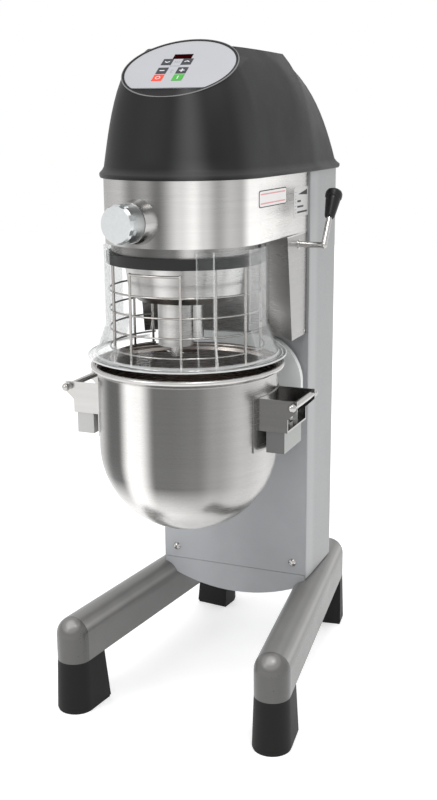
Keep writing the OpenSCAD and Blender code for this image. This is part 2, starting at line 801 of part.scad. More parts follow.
// The welded cage is kept as short arcs with hairline cuts, so that each one is nearly flat.
module wire_guard() {
    wire_low = 826;
    wire_foot = wire_low - 1.5;
    wire_high = 1031;
    window_z = 1018;
    window = [249.5, 289.3];
    rail_z = [975, 934, 893, 852];
    cuts = [151, 174, 200, 214, 238, 262, 276, 302, 327, 352, 366, 382];
    cut_w = 0.1;
    gap = (360 - guard_span) / 2;
    from = 90 + gap;
    color("#d6d4d0") at_axis() difference() {
        union() {
            for (a = [from + 2, 159.6, 188, 226.4, 314.4, 340.2, from + guard_span - 2])
                rotate([0, 0, a]) translate([wire_r, 0, wire_foot])
                    cylinder(r = 3, h = wire_high - wire_foot);
            for (a = window) rotate([0, 0, a]) translate([wire_r, 0, wire_foot]) {
                cylinder(r = 3, h = window_z - wire_foot);
                translate([0, 0, window_z - wire_foot]) sphere(3.8);
            }
            for (z = rail_z) guard_arc(guard_span, from) translate([wire_r, z]) circle(2);
            guard_arc(guard_span, from) translate([wire_r, wire_low]) circle(2.6);
            guard_arc(window[1] - window[0], window[0]) translate([wire_r, window_z]) circle(2.6);
        }
        for (a = cuts) rotate([0, 0, a]) translate([wire_r - 10, -cut_w / 2, wire_low - 10])
            cube([20, cut_w, wire_high - wire_low + 10]);
    }
}
module clear_screen() {
    gap = (360 - guard_span) / 2;
    from = 90 + gap;
    lip_z = 832;
    color([0.85, 0.9, 0.9, 0.35]) at_axis() difference() {
        guard_arc(guard_span, from) {
            polygon([[screen_r - 3, 900], [screen_r, 900], [screen_r, 1066], [screen_r - 3, 1066]]);
            polygon([[screen_r - 3, 900], [196, lip_z + 2], [196, lip_z], [214, lip_z], [214, lip_z + 3],
                [198.5, lip_z + 3], [screen_r, 900]]);
        }
        rotate([0, 0, 228]) translate([0, 0, 870]) rotate_extrude(angle = 72)
            translate([100, 0]) square([100, 300]);
    }
}

// ---------- bowl ----------
module bowl_profile() {
    bead_r = 5.5;
    intersection() {
        translate([0, bowl_mid_z]) difference() {
            circle(bowl_r);
            circle(bowl_r - bowl_wall);
        }
        translate([0, bowl_mid_z - bowl_r]) square([bowl_r, bowl_r]);
    }
    translate([bowl_r - bowl_wall, bowl_mid_z]) square([bowl_wall, rim_z - 16 - bowl_mid_z]);
    polygon([[bowl_r - bowl_wall, rim_z - 17], [bowl_r, rim_z - 17], [rim_r - bead_r, rim_z - 2 * bead_r],
        [rim_r - bead_r, rim_z - bead_r], [bowl_r - bowl_wall + 3, rim_z - 9]]);
    translate([rim_r - bead_r, rim_z - bead_r]) circle(bead_r);
}
module bowl() {
    color("#c6c3bf") at_axis() rotate_extrude() bowl_profile();
}
module bracket_plate_2d() {
    polygon([[170, arm_top + 0.3], [250, arm_top + 0.3], [250, arm_top + 29], [270, arm_top + 48],
        [270, arm_top + 69], [170, arm_top + 69]]);
}
module bowl_brackets() {
    base_z = arm_top + 0.3;
    color("#bdbab6") at_axis() both_sides() difference() {
        union() {
            for (y = [-plate_y - 2, plate_y - 2])
                translate([0, y + 4, 0]) rotate([90, 0, 0]) linear_extrude(4) bracket_plate_2d();
            translate([190, -plate_y - 2, base_z]) cube([60, 2 * plate_y + 4, 4]);
            intersection() {
                translate([0, 0, arm_low]) cylinder(r = bowl_r + 3, h = 116);
                translate([150, -plate_y - 2 - 16, arm_low]) cube([100, 2 * plate_y + 36, 116]);
            }
        }
        translate([0, 0, arm_low - 1]) cylinder(r = bowl_r + 0.1, h = 200);
        for (y = pin_y) {
            translate([pin_x, y, base_z - 1]) cylinder(r = 8.5, h = 6);
            translate([pin_x - 8.5, y, base_z - 1]) cube([17, plate_y + 10 - y, 6]);
        }
        translate([pin_x - 9.5, 0, base_z - 1]) cube([19, plate_y + 10, 19]);
        translate([handle_x, 100, handle_z]) rotate([90, 0, 0]) cylinder(r = 7.02, h = 200);
    }
}
module bowl_handles() {
    color("#dedede") at_axis() both_sides() translate([handle_x, 0, handle_z]) {
        rotate([90, 0, 0]) translate([0, 0, -72]) cylinder(r = 7, h = 144);
        translate([0, -72, 0]) sphere(9);
        translate([0, 72, 0]) sphere(9);
    }
}

// ---------- lift ----------
module carriage_outline() {
    r = 110;
    top = neck_z - 4;
    low = 650;
    translate([-180, low]) square([360, top - r - low]);
    translate([-180 + r, low]) square([360 - 2 * r, top - low]);
    for (s = [-1, 1]) translate([s * (180 - r), top - r]) circle(r);
}
module bowl_carriage() {
    color("#a9aeb0") at_axis() difference() {
        translate([0, 254, 0]) rotate([90, 0, 0]) linear_extrude(16) carriage_outline();
        on_bolts() translate([0, 0, -10]) cylinder(r = 6.01, h = 40);
    }
}
module on_bolts() {
    for (s = [-1, 1]) for (z = [712, 778]) translate([s * rod_x, 238, z]) rotate([-90, 0, 0]) children();
}
module carriage_bolts() {
    color("#c8c8c8") at_axis() on_bolts() {
        cylinder(r = 6, h = 40);
        translate([0, 0, -8]) cylinder(r = 10.5, h = 8, $fn = 6);
    }
}
module fork_arms() {
    color("#a2a5a5") at_axis() both_sides() translate([0, 0, arm_low]) difference() {
        linear_extrude(arm_top - arm_low)
            polygon([[203, -60], [243, -60], [243, 50], [178, 238], [148, 238], [203, 75]]);
        for (y = pin_y) translate([pin_x, y, 20]) cylinder(r = 8.02, h = 40);
    }
}
module fork_pins() {
    color("#d0d0d0") at_axis() both_sides() for (y = pin_y)
        translate([pin_x, y, arm_low + 20]) cylinder(r = 8, h = arm_top - arm_low - 20 + 15);
}
module slide_block() {
    color("#83888c") at_axis() difference() {
        union() {
            translate([-90, 300, 690]) cube([180, 40, 110]);
            translate([-122, 306, 742]) cube([34, 28, 16]);
            for (s = [-1, 1]) translate([s * rod_x - 15, 254, pad_low]) cube([30, 47, 102]);
        }
        on_bolts() cylinder(r = 6.01, h = 42);
        for (s = [-1, 1]) translate([s * rod_x, rod_y, 600]) cylinder(r = rod_r + fit, h = 300);
        translate([gas_x, rod_y, 700]) cylinder(r = 5.02, h = 100);
    }
}
// The rack's teeth face forward, with one space level with the lever's shaft.
module lift_rack() {
    pitch = PI * gear_module;
    teeth = 19;
    color("#9a9488") at_axis() {
        translate([rack_x, 0, 0]) rotate([90, 0, 90]) linear_extrude(rack_w) polygon(concat(
            [[rack_y + 17, 700], [rack_y + 17, lever_z + (teeth + 1) * pitch],
                [rack_y + 3.2, lever_z + (teeth + 1) * pitch]],
            [for (k = [teeth:-1:-2]) let(z = lever_z + (k + 0.5) * pitch)
                each [[rack_y + 3.2, z + 3.0], [rack_y - 2.2, z + 1.05], [rack_y - 2.2, z - 1.05],
                    [rack_y + 3.2, z - 3.0]]],
            [[rack_y + 3.2, 700]]));
        translate([90, 300, 700]) cube([rack_x + rack_w - 90, 20, 30]);
        translate([rack_x, rack_y + 17, 700]) cube([rack_w, 320 - rack_y - 17, 30]);
    }
}
module gas_spring_cylinder() {
    color("#34383c") at_axis() translate([gas_x, rod_y, 452]) difference() {
        cylinder(r = 14, h = 146);
        translate([0, 0, 4]) cylinder(r = 11, h = 136);
        translate([0, 0, 100]) cylinder(r = 5 + fit, h = 60);
    }
}
module gas_spring_rod() {
    color("#c8c8c8") at_axis() translate([gas_x, rod_y, 588]) {
        cylinder(r = 11 - fit, h = 3);
        cylinder(r = 5, h = 170);
    }
}
module lever_frame() {
    translate([0, lever_y, lever_z]) children();
}
// Shaft along X, then a straight rod that leans back from the vertical when the bowl is up.
// The knob is pressed over the rod's end.
module lift_lever() {
    rod_len = 90;
    color("#d2d2d2") at_axis() lever_frame() {
        translate([132, 0, 0]) rotate([0, 90, 0]) cylinder(r = 9, h = 52);
        translate([184, 0, 0]) rotate([0, 90, 0]) cylinder(r = 6.5, h = elbow_x - 184);
        translate([elbow_x, 0, 0]) sphere(7.4);
        translate([elbow_x, 0, 0]) rotate([lever_rest - 90, 0, 0]) cylinder(r = 6.5, h = rod_len);
    }
}
module lift_gear() {
    color("#9a9488") at_axis() lever_frame() translate([rack_x, 0, 0]) rotate([90, 0, 90])
        linear_extrude(rack_w) difference() {
            union() {
                polygon(concat([[0, 0]], gear_points(lift_teeth, -1, 19, 0, 2.2, 3.1, 0.12)));
                circle(20);
            }
            circle(9.02);
        }
}
module lever_bush() {
    color("#b89a5a") at_axis() lever_frame() rotate([0, 90, 0]) {
        translate([0, 0, 176]) ring(12, 9 + fit, neck_x + 0.6 - 176);
        translate([0, 0, 176]) ring(15, 9 + fit, 3);
    }
}
module knob_outline() {
    polygon([[0, 69], [9.5, 69], [11.5, 72], [16.5, 112], [16.5, 114.5], [15.6, 115.5], [15.6, 116.5],
        [18.6, 119], [19.3, 124], [18.8, 130], [16.5, 134.5], [12, 137.5], [11, 137], [0, 136]]);
}
module lever_knob() {
    color("#2c2c2e") at_axis() lever_frame() translate([elbow_x, 0, 0]) rotate([lever_rest - 90, 0, 0])
        difference() {
            rotate_extrude() knob_outline();
            cylinder(r = 6.52, h = 90.5);
        }
}

left_leg();
right_leg();
leg_end_caps();
feet();
foot_soles();
base_beam();
column_cover();
front_panel();
cover_screws();
cable_gland();
inner_frame();
head_frame();
head_housing();
top_cover();
control_membrane();
display_window();
speed_down_key();
speed_up_key();
time_down_key();
time_up_key();
stop_key();
start_key();
control_box();
motor();
motor_shaft();
motor_pulley();
drive_belt();
driven_pulley();
main_shaft();
fixed_bearings();
hub_crown_gear();
ring_gear();
planet_drum();
tool_bearings();
tool_spindle();
tool_pin();
tool_pinion();
hub_housing();
hub_shaft();
hub_cap();
guard_band();
guard_ring();
wire_guard();
clear_screen();
bowl();
bowl_brackets();
bowl_handles();
bowl_carriage();
carriage_bolts();
fork_arms();
fork_pins();
slide_block();
guide_rods();
lift_rack();
gas_spring_cylinder();
gas_spring_rod();
lift_lever();
lift_gear();
lever_bush();
lever_knob();
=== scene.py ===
import json
import math

import bmesh
import bpy
from mathutils import Matrix, Vector


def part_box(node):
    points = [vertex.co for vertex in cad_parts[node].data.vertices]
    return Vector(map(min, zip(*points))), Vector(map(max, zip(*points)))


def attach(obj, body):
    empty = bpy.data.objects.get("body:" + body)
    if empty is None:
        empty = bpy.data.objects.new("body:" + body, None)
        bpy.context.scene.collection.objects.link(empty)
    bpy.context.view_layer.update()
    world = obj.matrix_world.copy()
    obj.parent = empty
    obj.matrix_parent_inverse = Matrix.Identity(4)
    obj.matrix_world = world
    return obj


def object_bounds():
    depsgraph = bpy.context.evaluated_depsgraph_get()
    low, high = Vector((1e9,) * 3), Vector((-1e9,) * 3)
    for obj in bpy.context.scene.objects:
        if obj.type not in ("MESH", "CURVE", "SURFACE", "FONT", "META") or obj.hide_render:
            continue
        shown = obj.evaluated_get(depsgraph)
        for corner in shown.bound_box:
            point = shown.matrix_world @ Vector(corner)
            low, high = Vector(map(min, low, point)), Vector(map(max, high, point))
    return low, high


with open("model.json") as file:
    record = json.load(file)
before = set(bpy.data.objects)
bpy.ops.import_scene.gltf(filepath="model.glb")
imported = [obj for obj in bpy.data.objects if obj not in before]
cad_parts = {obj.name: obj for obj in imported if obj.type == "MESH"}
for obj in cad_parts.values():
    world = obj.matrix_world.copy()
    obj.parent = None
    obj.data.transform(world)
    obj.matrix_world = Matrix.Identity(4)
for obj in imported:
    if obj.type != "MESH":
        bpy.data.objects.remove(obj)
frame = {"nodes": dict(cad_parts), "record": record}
CAD_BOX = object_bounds()
LOW, HIGH = Vector(CAD_BOX[0]), Vector(CAD_BOX[1])
HEIGHT = HIGH.z - LOW.z
RECORD = frame["record"]
SCENE = bpy.context.scene
MM = 0.001
WHITE = (1.0, 1.0, 1.0)

# ---------------------------------------------------------------- camera
CAMERA_AZIMUTH = 22.16  # degrees from straight ahead towards +x
CAMERA_PITCH = 14.11  # degrees above the horizon
CAMERA_ROLL = -0.36
CAMERA_DISTANCE = 2.6  # metres to the point aimed at
FIELD_OF_VIEW = 38.85  # degrees over the picture's height
LENS_SHIFT = (-0.0042, -0.0020)
NEAREST, FARTHEST = 0.05, 40
AIM_SHARE = (0.0158, -0.029, 0.4717)  # the point aimed at, as shares of the height


def make_camera():
    turn, pitch = math.radians(CAMERA_AZIMUTH), math.radians(CAMERA_PITCH)
    flat = math.cos(pitch)
    back = Vector((math.sin(turn) * flat, -math.cos(turn) * flat, math.sin(pitch)))
    cam = bpy.data.cameras.new("camera")
    obj = bpy.data.objects.new("camera", cam)
    SCENE.collection.objects.link(obj)
    cam.sensor_fit = "VERTICAL"
    cam.angle = math.radians(FIELD_OF_VIEW)
    cam.shift_x, cam.shift_y = LENS_SHIFT
    cam.clip_start, cam.clip_end = NEAREST, FARTHEST
    cam.dof.use_dof = False
    aim = Vector([share * HEIGHT for share in AIM_SHARE])
    look = back.to_track_quat("Z", "Y").to_matrix().to_4x4()
    roll = Matrix.Rotation(math.radians(CAMERA_ROLL), 4, "Z")
    obj.matrix_world = Matrix.Translation(aim + back * CAMERA_DISTANCE) @ look @ roll
    SCENE.camera = obj


make_camera()
SCENE.view_settings.view_transform = "Standard"
SCENE.view_settings.look = "None"

# ---------------------------------------------------------------- node helpers
NOISE_LOW, NOISE_HIGH = 0.3, 0.7  # most of a noise texture's values lie between these
EVEN = (1, 1, 1)
MIX_FACTOR, MIX_A, MIX_B, MIX_RESULT = 0, 6, 7, 2  # a Mix node's sockets for colours


class Mat:
    """A material whose colour, roughness and bump all come from nodes."""

    def __init__(self, name, metallic=0.0):
        self.mat = bpy.data.materials.new(name)
        self.mat.use_nodes = True
        self.nt = self.mat.node_tree
        self.nt.nodes.clear()
        self.out = self.nt.nodes.new("ShaderNodeOutputMaterial")
        self.bsdf = self.nt.nodes.new("ShaderNodeBsdfPrincipled")
        self.nt.links.new(self.bsdf.outputs[0], self.out.inputs[0])
        self.bsdf.inputs["Metallic"].default_value = metallic
        self.coords = self.nt.nodes.new("ShaderNodeTexCoord")

    def put(self, socket, value):
        self.nt.links.new(value, self.bsdf.inputs[socket])

    def noise(self, scale, stretch, detail, rough):
        mapping = self.nt.nodes.new("ShaderNodeMapping")
        mapping.inputs["Scale"].default_value = stretch
        self.nt.links.new(self.coords.outputs["Object"], mapping.inputs["Vector"])
        texture = self.nt.nodes.new("ShaderNodeTexNoise")
        texture.inputs["Scale"].default_value = scale
        texture.inputs["Detail"].default_value = detail
        texture.inputs["Roughness"].default_value = rough
        self.nt.links.new(mapping.outputs[0], texture.inputs["Vector"])
        return texture.outputs["Fac"]

    def calc(self, kind, *values):
        node = self.nt.nodes.new("ShaderNodeMath")
        node.operation = kind
        for socket, value in zip(node.inputs, values):
            if isinstance(value, (int, float)):
                socket.default_value = value
            else:
                self.nt.links.new(value, socket)
        return node.outputs[0]

    def add(self, a, b):
        return self.calc("ADD", a, b)

    def minus(self, a, b):
        return self.calc("SUBTRACT", a, b)

    def times(self, a, b):
        return self.calc("MULTIPLY", a, b)

    def span(self, value, low, high, start=NOISE_LOW, end=NOISE_HIGH):
        """low to high while the value runs from start to end, and held beyond them."""
        node = self.nt.nodes.new("ShaderNodeMapRange")
        node.inputs["From Min"].default_value = start
        node.inputs["From Max"].default_value = end
        node.inputs["To Min"].default_value = low
        node.inputs["To Max"].default_value = high
        self.nt.links.new(value, node.inputs["Value"])
        return node.outputs["Result"]

    def rise(self, value, start, end):
        return self.span(value, 0.0, 1.0, start, end)

    def fall(self, value, start, end):
        return self.span(value, 1.0, 0.0, start, end)

    def tint(self, value, dark, light):
        node = self.nt.nodes.new("ShaderNodeValToRGB")
        ends = node.color_ramp.elements
        ends[0].position, ends[1].position = NOISE_LOW, NOISE_HIGH
        ends[0].color = (*dark, 1)
        ends[1].color = (*light, 1)
        self.nt.links.new(value, node.inputs["Fac"])
        return node.outputs["Color"]

    def ramp(self, value, stops, color):
        """Soft bands of one colour, for painted light and shade. Each stop is (position from 0 to 1,
        level).
        """
        node = self.nt.nodes.new("ShaderNodeValToRGB")
        node.color_ramp.interpolation = "EASE"
        elements = node.color_ramp.elements
        while len(elements) < len(stops):
            elements.new(0.5)
        for element, (position, level) in zip(elements, stops):
            element.position = position
            element.color = (*shade(color, level), 1)
        self.nt.links.new(value, node.inputs["Fac"])
        return node.outputs["Color"]

    def mix(self, factor, a, b, kind="MIX"):
        node = self.nt.nodes.new("ShaderNodeMix")
        node.data_type = "RGBA"
        node.blend_type = kind
        for k, value in ((MIX_FACTOR, factor), (MIX_A, a), (MIX_B, b)):
            if isinstance(value, (int, float)):
                node.inputs[k].default_value = value
            elif isinstance(value, tuple):
                node.inputs[k].default_value = (*value, 1)
            else:
                self.nt.links.new(value, node.inputs[k])
        return node.outputs[MIX_RESULT]

    def bump(self, *layers):
        """Each layer is (height, strength, depth in metres)."""
        normal = None
        for height, strength, depth in layers:
            node = self.nt.nodes.new("ShaderNodeBump")
            node.inputs["Strength"].default_value = strength
            node.inputs["Distance"].default_value = depth
            self.nt.links.new(height, node.inputs["Height"])
            if normal is not None:
                self.nt.links.new(normal, node.inputs["Normal"])
            normal = node.outputs["Normal"]
        self.put("Normal", normal)

    def paint(self, tone, painted_shading):
        """The base colour: an uneven tone, times the painted light and shade where there is any."""
        self.put("Base Color", self.mix(1.0, painted_shading(self), tone, "MULTIPLY") if painted_shading else tone)

    def place(self):
        node = self.nt.nodes.new("ShaderNodeSeparateXYZ")
        self.nt.links.new(self.coords.outputs["Object"], node.inputs[0])
        return node.outputs

    def facing(self):
        """The parts of the surface's direction in the machine's frame."""
        geometry = self.nt.nodes.new("ShaderNodeNewGeometry")
        node = self.nt.nodes.new("ShaderNodeSeparateXYZ")
        self.nt.links.new(geometry.outputs["Normal"], node.inputs[0])
        return node.outputs

    def azimuth(self):
        """The angle about the mixing axis: 0 to 1 for -180 to 180 degrees, 0.5 at the front."""
        place = self.place()
        right = self.minus(place["X"], MIX_AXIS.x)
        ahead = self.minus(MIX_AXIS.y, place["Y"])
        return self.rise(self.calc("ARCTAN2", right, ahead), -math.pi, math.pi)

    def around(self, stops, color):
        """Painted reflections: soft upright bands about the mixing axis. Each stop is (degrees, level)."""
        return self.ramp(self.azimuth(), [(turn_share(a), level) for a, level in stops], color)


def turn_share(angle):
    return (angle + 180) / 360


def shade(color, level):
    return tuple(min(1.0, part * level) for part in color)


# ---------------------------------------------------------------- kinds of surface
STREAK_FINE, STREAK_BROAD = 900, 150
STREAK_DEPTH = 0.02 * MM
SMUDGE = 0.06  # how far the roughness drifts over a metal surface
FADED_STREAK = (0.88, 0.88, 0.88)
PAINT_GRAIN = 260
MOULD_GRAIN = 700


def brushed(name, color, rough, stretch, streak=0.10, aniso=0.0, painted_shading=None):
    """Metal with fine streaks along the axes whose stretch is small."""
    m = Mat(name, metallic=1.0)
    fine = m.noise(STREAK_FINE, stretch, 4, 0.65)
    broad = m.noise(STREAK_BROAD, stretch, 3, 0.5)
    cloud = m.noise(6, EVEN, 3, 0.5)
    streaks = m.add(m.times(fine, 0.6), m.times(broad, 0.4))
    # With painted light and shade, the streaks only fade the painted reflection bands, which give the
    # colour.
    dark, light = (FADED_STREAK, WHITE) if painted_shading else (shade(color, 0.90), shade(color, 1.06))
    m.paint(m.tint(streaks, dark, light), painted_shading)
    m.put("Roughness", m.add(m.span(fine, rough - streak / 2, rough + streak / 2),
                             m.span(cloud, -SMUDGE / 2, SMUDGE / 2)))
    m.bump((broad, 0.35, STREAK_DEPTH), (fine, 0.5, STREAK_DEPTH))
    if aniso:
        m.bsdf.inputs["Anisotropic"].default_value = aniso
        tangent = m.nt.nodes.new("ShaderNodeTangent")
        tangent.direction_type = "RADIAL"
        tangent.axis = "Z"
        m.put("Tangent", tangent.outputs[0])
    return m.mat


def painted(name, color, rough, peel=0.04, coat=0.0, vary=0.05, painted_shading=None, glow=0.0):
    """Paint with a faint orange peel, whose depth is in millimetres."""
    m = Mat(name)
    m.bsdf.inputs["Coat Weight"].default_value = coat
    m.bsdf.inputs["Coat Roughness"].default_value = 0.2
    if glow:
        m.bsdf.inputs["Emission Color"].default_value = (*WHITE, 1)
        m.bsdf.inputs["Emission Strength"].default_value = glow
    fine = m.noise(PAINT_GRAIN, EVEN, 3, 0.55)
    cloud = m.noise(9, EVEN, 4, 0.6)
    m.paint(m.tint(cloud, shade(color, 1 - vary), shade(color, 1 + vary)), painted_shading)
    m.put("Roughness", m.add(m.span(fine, rough - 0.05, rough + 0.05), m.span(cloud, -0.03, 0.05)))
    m.bump((cloud, 0.15, peel * 6 * MM), (fine, 0.5, peel * MM))
    return m.mat


def moulded(name, color, rough, depth=0.08, vary=0.08, specular=0.25, painted_shading=None):
    """Plastic or rubber with an etched grain, whose depth is in millimetres."""
    m = Mat(name)
    m.bsdf.inputs["Specular IOR Level"].default_value = specular
    fine = m.noise(MOULD_GRAIN, EVEN, 5, 0.6)
    cloud = m.noise(11, EVEN, 4, 0.6)
    both = m.add(m.times(fine, 0.5), m.times(cloud, 0.5))
    m.paint(m.tint(both, shade(color, 1 - vary), shade(color, 1 + vary)), painted_shading)
    m.put("Roughness", m.add(m.span(fine, rough - 0.06, rough + 0.06), m.span(cloud, -0.03, 0.04)))
    m.bump((fine, 0.6, depth * MM))
    return m.mat


# ---------------------------------------------------------------- places taken from the frame
HEAD_LOW, HEAD_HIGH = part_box("head_housing")
BAND_LOW, BAND_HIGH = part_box("guard_band")
BOWL_LOW, BOWL_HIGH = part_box("bowl")
COLUMN_LOW, COLUMN_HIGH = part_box("column_cover")
COVER_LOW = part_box("top_cover")[0]
SCREEN_LOW, SCREEN_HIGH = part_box("clear_screen")
MIX_AXIS = (BAND_LOW + BAND_HIGH) / 2
SCREEN_R = (SCREEN_HIGH.x - SCREEN_LOW.x) / 2

# ---------------------------------------------------------------- the clear screen
SHEET_TINT = (0.975, 0.98, 0.98)
# The haze is mostly painted highlight along the edges, and a faint even scuffing elsewhere.
SHEET_HAZE_AND_EDGE_GLINT = (0.8, 0.82, 0.82)
SHEET_ROUGH = 0.04
# Painted highlights: a white haze along the sheet's upright cut edges, its outer edge and the ridges of its
# lip.
SHEET_EDGE_GLINTS = ((-42, 0.25), (30.4, 0.14), (42, 0.28))  # upright cut edges: (degrees, strength)
EDGE_START, EDGE_END = 0.0005, 0.0022  # half an edge's width, as shares of a turn
OUTER_EDGE, OUTER_STRENGTH = (2.2 * MM, 1.0 * MM), 0.55
LIP_START, LIP_END = 19 * MM, 18 * MM  # the lip's foot, in from the outer edge
RIDGE_FIRST, RIDGE_PITCH = 16.5 * MM, 4 * MM
RIDGE_EDGE, RIDGE_STRENGTH = (0.5 * MM, 1.4 * MM), 0.40


def clear_sheet(name):
    """A thin clear sheet: mostly see-through, with reflections that grow at a grazing angle."""
    m = Mat(name)
    nt = m.nt
    nt.nodes.remove(m.bsdf)
    see = nt.nodes.new("ShaderNodeBsdfTransparent")
    see.inputs["Color"].default_value = (*SHEET_TINT, 1)
    shine = nt.nodes.new("ShaderNodeBsdfGlossy")
    haze = nt.nodes.new("ShaderNodeBsdfDiffuse")
    haze.inputs["Color"].default_value = (*SHEET_HAZE_AND_EDGE_GLINT, 1)
    fine = m.noise(60, (1, 1, 0.25), 3, 0.6)
    nt.links.new(m.span(fine, SHEET_ROUGH, SHEET_ROUGH + 0.05), shine.inputs["Roughness"])
    bump = nt.nodes.new("ShaderNodeBump")
    bump.inputs["Strength"].default_value = 0.2
    bump.inputs["Distance"].default_value = 0.4 * MM
    nt.links.new(m.noise(9, (1, 1, 0.4), 2, 0.5), bump.inputs["Height"])
    nt.links.new(bump.outputs[0], shine.inputs["Normal"])

    weight = nt.nodes.new("ShaderNodeLayerWeight")
    weight.inputs["Blend"].default_value = 0.22
    glassy = nt.nodes.new("ShaderNodeMixShader")
    nt.links.new(m.add(m.times(weight.outputs["Fresnel"], 0.45), 0.01), glassy.inputs["Fac"])
    nt.links.new(see.outputs[0], glassy.inputs[1])
    nt.links.new(shine.outputs[0], glassy.inputs[2])

    place = m.place()
    right, ahead = m.minus(place["X"], MIX_AXIS.x), m.minus(place["Y"], MIX_AXIS.y)
    reach = m.calc("SQRT", m.add(m.times(right, right), m.times(ahead, ahead)))
    # Painted highlights along the outer edge, the lip's ridges and the cut edges, as a white haze.
    outer = m.span(reach, 0.0, OUTER_STRENGTH, SCREEN_R - OUTER_EDGE[0], SCREEN_R - OUTER_EDGE[1])
    ridge = m.calc("PINGPONG", m.minus(reach, SCREEN_R - RIDGE_FIRST), RIDGE_PITCH)
    lip = m.rise(reach, SCREEN_R - LIP_START, SCREEN_R - LIP_END)
    edges = m.calc("MAXIMUM", outer, m.times(m.span(ridge, RIDGE_STRENGTH, 0.0, *RIDGE_EDGE), lip))
    turn = m.azimuth()
    for angle, strength in SHEET_EDGE_GLINTS:
        off = m.calc("ABSOLUTE", m.minus(turn, turn_share(angle)))
        edges = m.calc("MAXIMUM", edges, m.span(off, strength, 0.0, EDGE_START, EDGE_END))
    edged = nt.nodes.new("ShaderNodeMixShader")
    nt.links.new(m.calc("MAXIMUM", edges, m.span(fine, 0.0, 0.010)), edged.inputs["Fac"])
    nt.links.new(glassy.outputs[0], edged.inputs[1])
    nt.links.new(haze.outputs[0], edged.inputs[2])
    nt.links.new(edged.outputs[0], m.out.inputs[0])
    return m.mat


# ---------------------------------------------------------------- painted light and shade: reflection bands, highlights and shade
# Stops about the mixing axis are (degrees, level), with 0 at the front and +x above 0.
# Left and right are as seen from the front, so right is towards +x.
# The levels below scale these colours into painted light and shade; STEEL is also the steel's own colour.
STEEL = (1.0, 0.985, 0.965)
MID_GREY = (0.5, 0.5, 0.5)
COVER_GREY = (0.1, 0.1, 0.1)
PANEL_GREY = (0.8, 0.8, 0.8)

# Painted reflections round the head's wall.
HEAD_REFLECTION_STOPS = ((-120, 0.6), (-60, 0.30), (-28, 0.50), (-15, 0.22), (-5, 0.30), (5, 0.16), (20, 0.66),
              (29, 0.86), (36, 0.60), (46, 0.34), (55, 0.50), (64, 0.44), (74, 0.95), (90, 0.98),
              (110, 0.92), (130, 0.74), (146, 0.62), (175, 0.5))
# Painted shade on the neck's sides and front, and a painted highlight on its ledge that faces up.
NECK_SIDE_SHADE, NECK_FRONT_SHADE, NECK_LEDGE_HIGHLIGHT = shade(STEEL, 0.38), shade(STEEL, 0.36), shade(STEEL, 0.98)
# Painted reflections round the bowl's wall and belly.
BOWL_WALL_REFLECTION_STOPS = ((-150, 0.35), (-75, 0.42), (-49, 0.30), (-33, 0.07), (-25, 0.09), (-15, 0.80),
                   (-8, 0.74), (3, 0.12), (12, 0.12), (28, 0.145), (40, 0.24), (60, 0.40), (80, 0.5),
                   (100, 0.3), (160, 0.30))
BOWL_BELLY_REFLECTION_STOPS = ((-150, 0.5), (-40, 0.70), (-10, 0.86), (30, 0.58), (80, 0.46), (150, 0.5))
BOWL_BELLY_TOP = (0.20, 0.38)  # where the belly turns into the wall, as shares of the bowl's depth
# The rim gets one level of painted reflection.
BOWL_RIM_REFLECTION = shade(STEEL, 0.55)
BOWL_RIM_EDGE = (20 * MM, 13 * MM)  # down from the bowl's top
# Painted shade inside the bowl.
BOWL_INSIDE_SHADE = (0.46, 0.415, 0.385)
# Painted reflections round the planet drum.
DRUM_REFLECTION_STOPS = ((-120, 0.5), (-40, 0.55), (-15, 0.36), (0, 0.62), (18, 0.34), (45, 0.42), (70, 0.62),
              (100, 0.4))
# Painted reflections round the guard band.
GUARD_BAND_REFLECTION_STOPS = ((-120, 0.3), (-30, 0.22), (-5, 0.10), (14, 0.16), (26, 0.55), (40, 0.20), (60, 0.40),
              (90, 0.2))
# Painted light and shade on the bowl brackets: lighter on the left, darker on the right, darkest where the
# right one faces forward.
BRACKET_LEFT_LIT, BRACKET_RIGHT_SHADE, BRACKET_FRONT_SHADE = shade(STEEL, 0.54), shade(STEEL, 0.40), shade(STEEL, 0.12)
# The fork arms' own light grey, with painted shade: darker on the right arm, darkest where it faces
# forward.
ARM_LEFT_LIT, ARM_FRONT_SHADE, ARM_SIDE_SHADE = (0.44, 0.44, 0.43), (0.085, 0.087, 0.085), (0.30, 0.31, 0.30)
# Painted reflections round the top cover.
COVER_REFLECTION_STOPS = ((-150, 0.9), (-70, 0.7), (-20, 0.66), (10, 0.66), (28, 3.2), (44, 0.7), (60, 1.0),
               (76, 2.0), (92, 1.0), (120, 0.9), (146, 0.9), (150, 2.0), (156, 1.0), (175, 1.0))
# Stops below are (share, level): by how far a surface faces up or forward, or by place.
# Painted highlight and shade on the legs, by how far they face up.
LEG_LIGHT_STOPS = ((0.0, 0.31), (0.30, 0.38), (0.55, 0.80), (0.72, 0.61), (0.88, 0.43), (1.0, 0.53))
# A painted glint on the leg end caps, and painted shade away from it.
CAP_GLINT_STOPS = ((0.0, 0.16), (0.5, 0.185), (0.8, 0.25), (0.93, 0.46), (1.0, 0.9))
CAP_GLINT = (0.12, 0.58, 0.80)  # the way to the glint: its parts to the right, ahead and up
# A painted highlight just behind the column cover's front edges, darker towards the back.
COLUMN_HIGHLIGHT_STOPS = ((0.0, 1.0), (0.05, 1.32), (0.14, 1.3), (0.3, 1.0), (0.8, 0.97), (1.0, 0.8))
COLUMN_REACH = 0.23  # metres back from the column's front edge
# Painted light across the front panel and base beam: lighter on the left.
PANEL_LIGHT_STOPS = ((0.0, 1.50), (0.22, 1.42), (0.45, 1.04), (0.7, 0.88), (1.0, 0.92))
SIDE_CHANGE = 10 * MM  # half of the stretch over which the two sides' colours meet


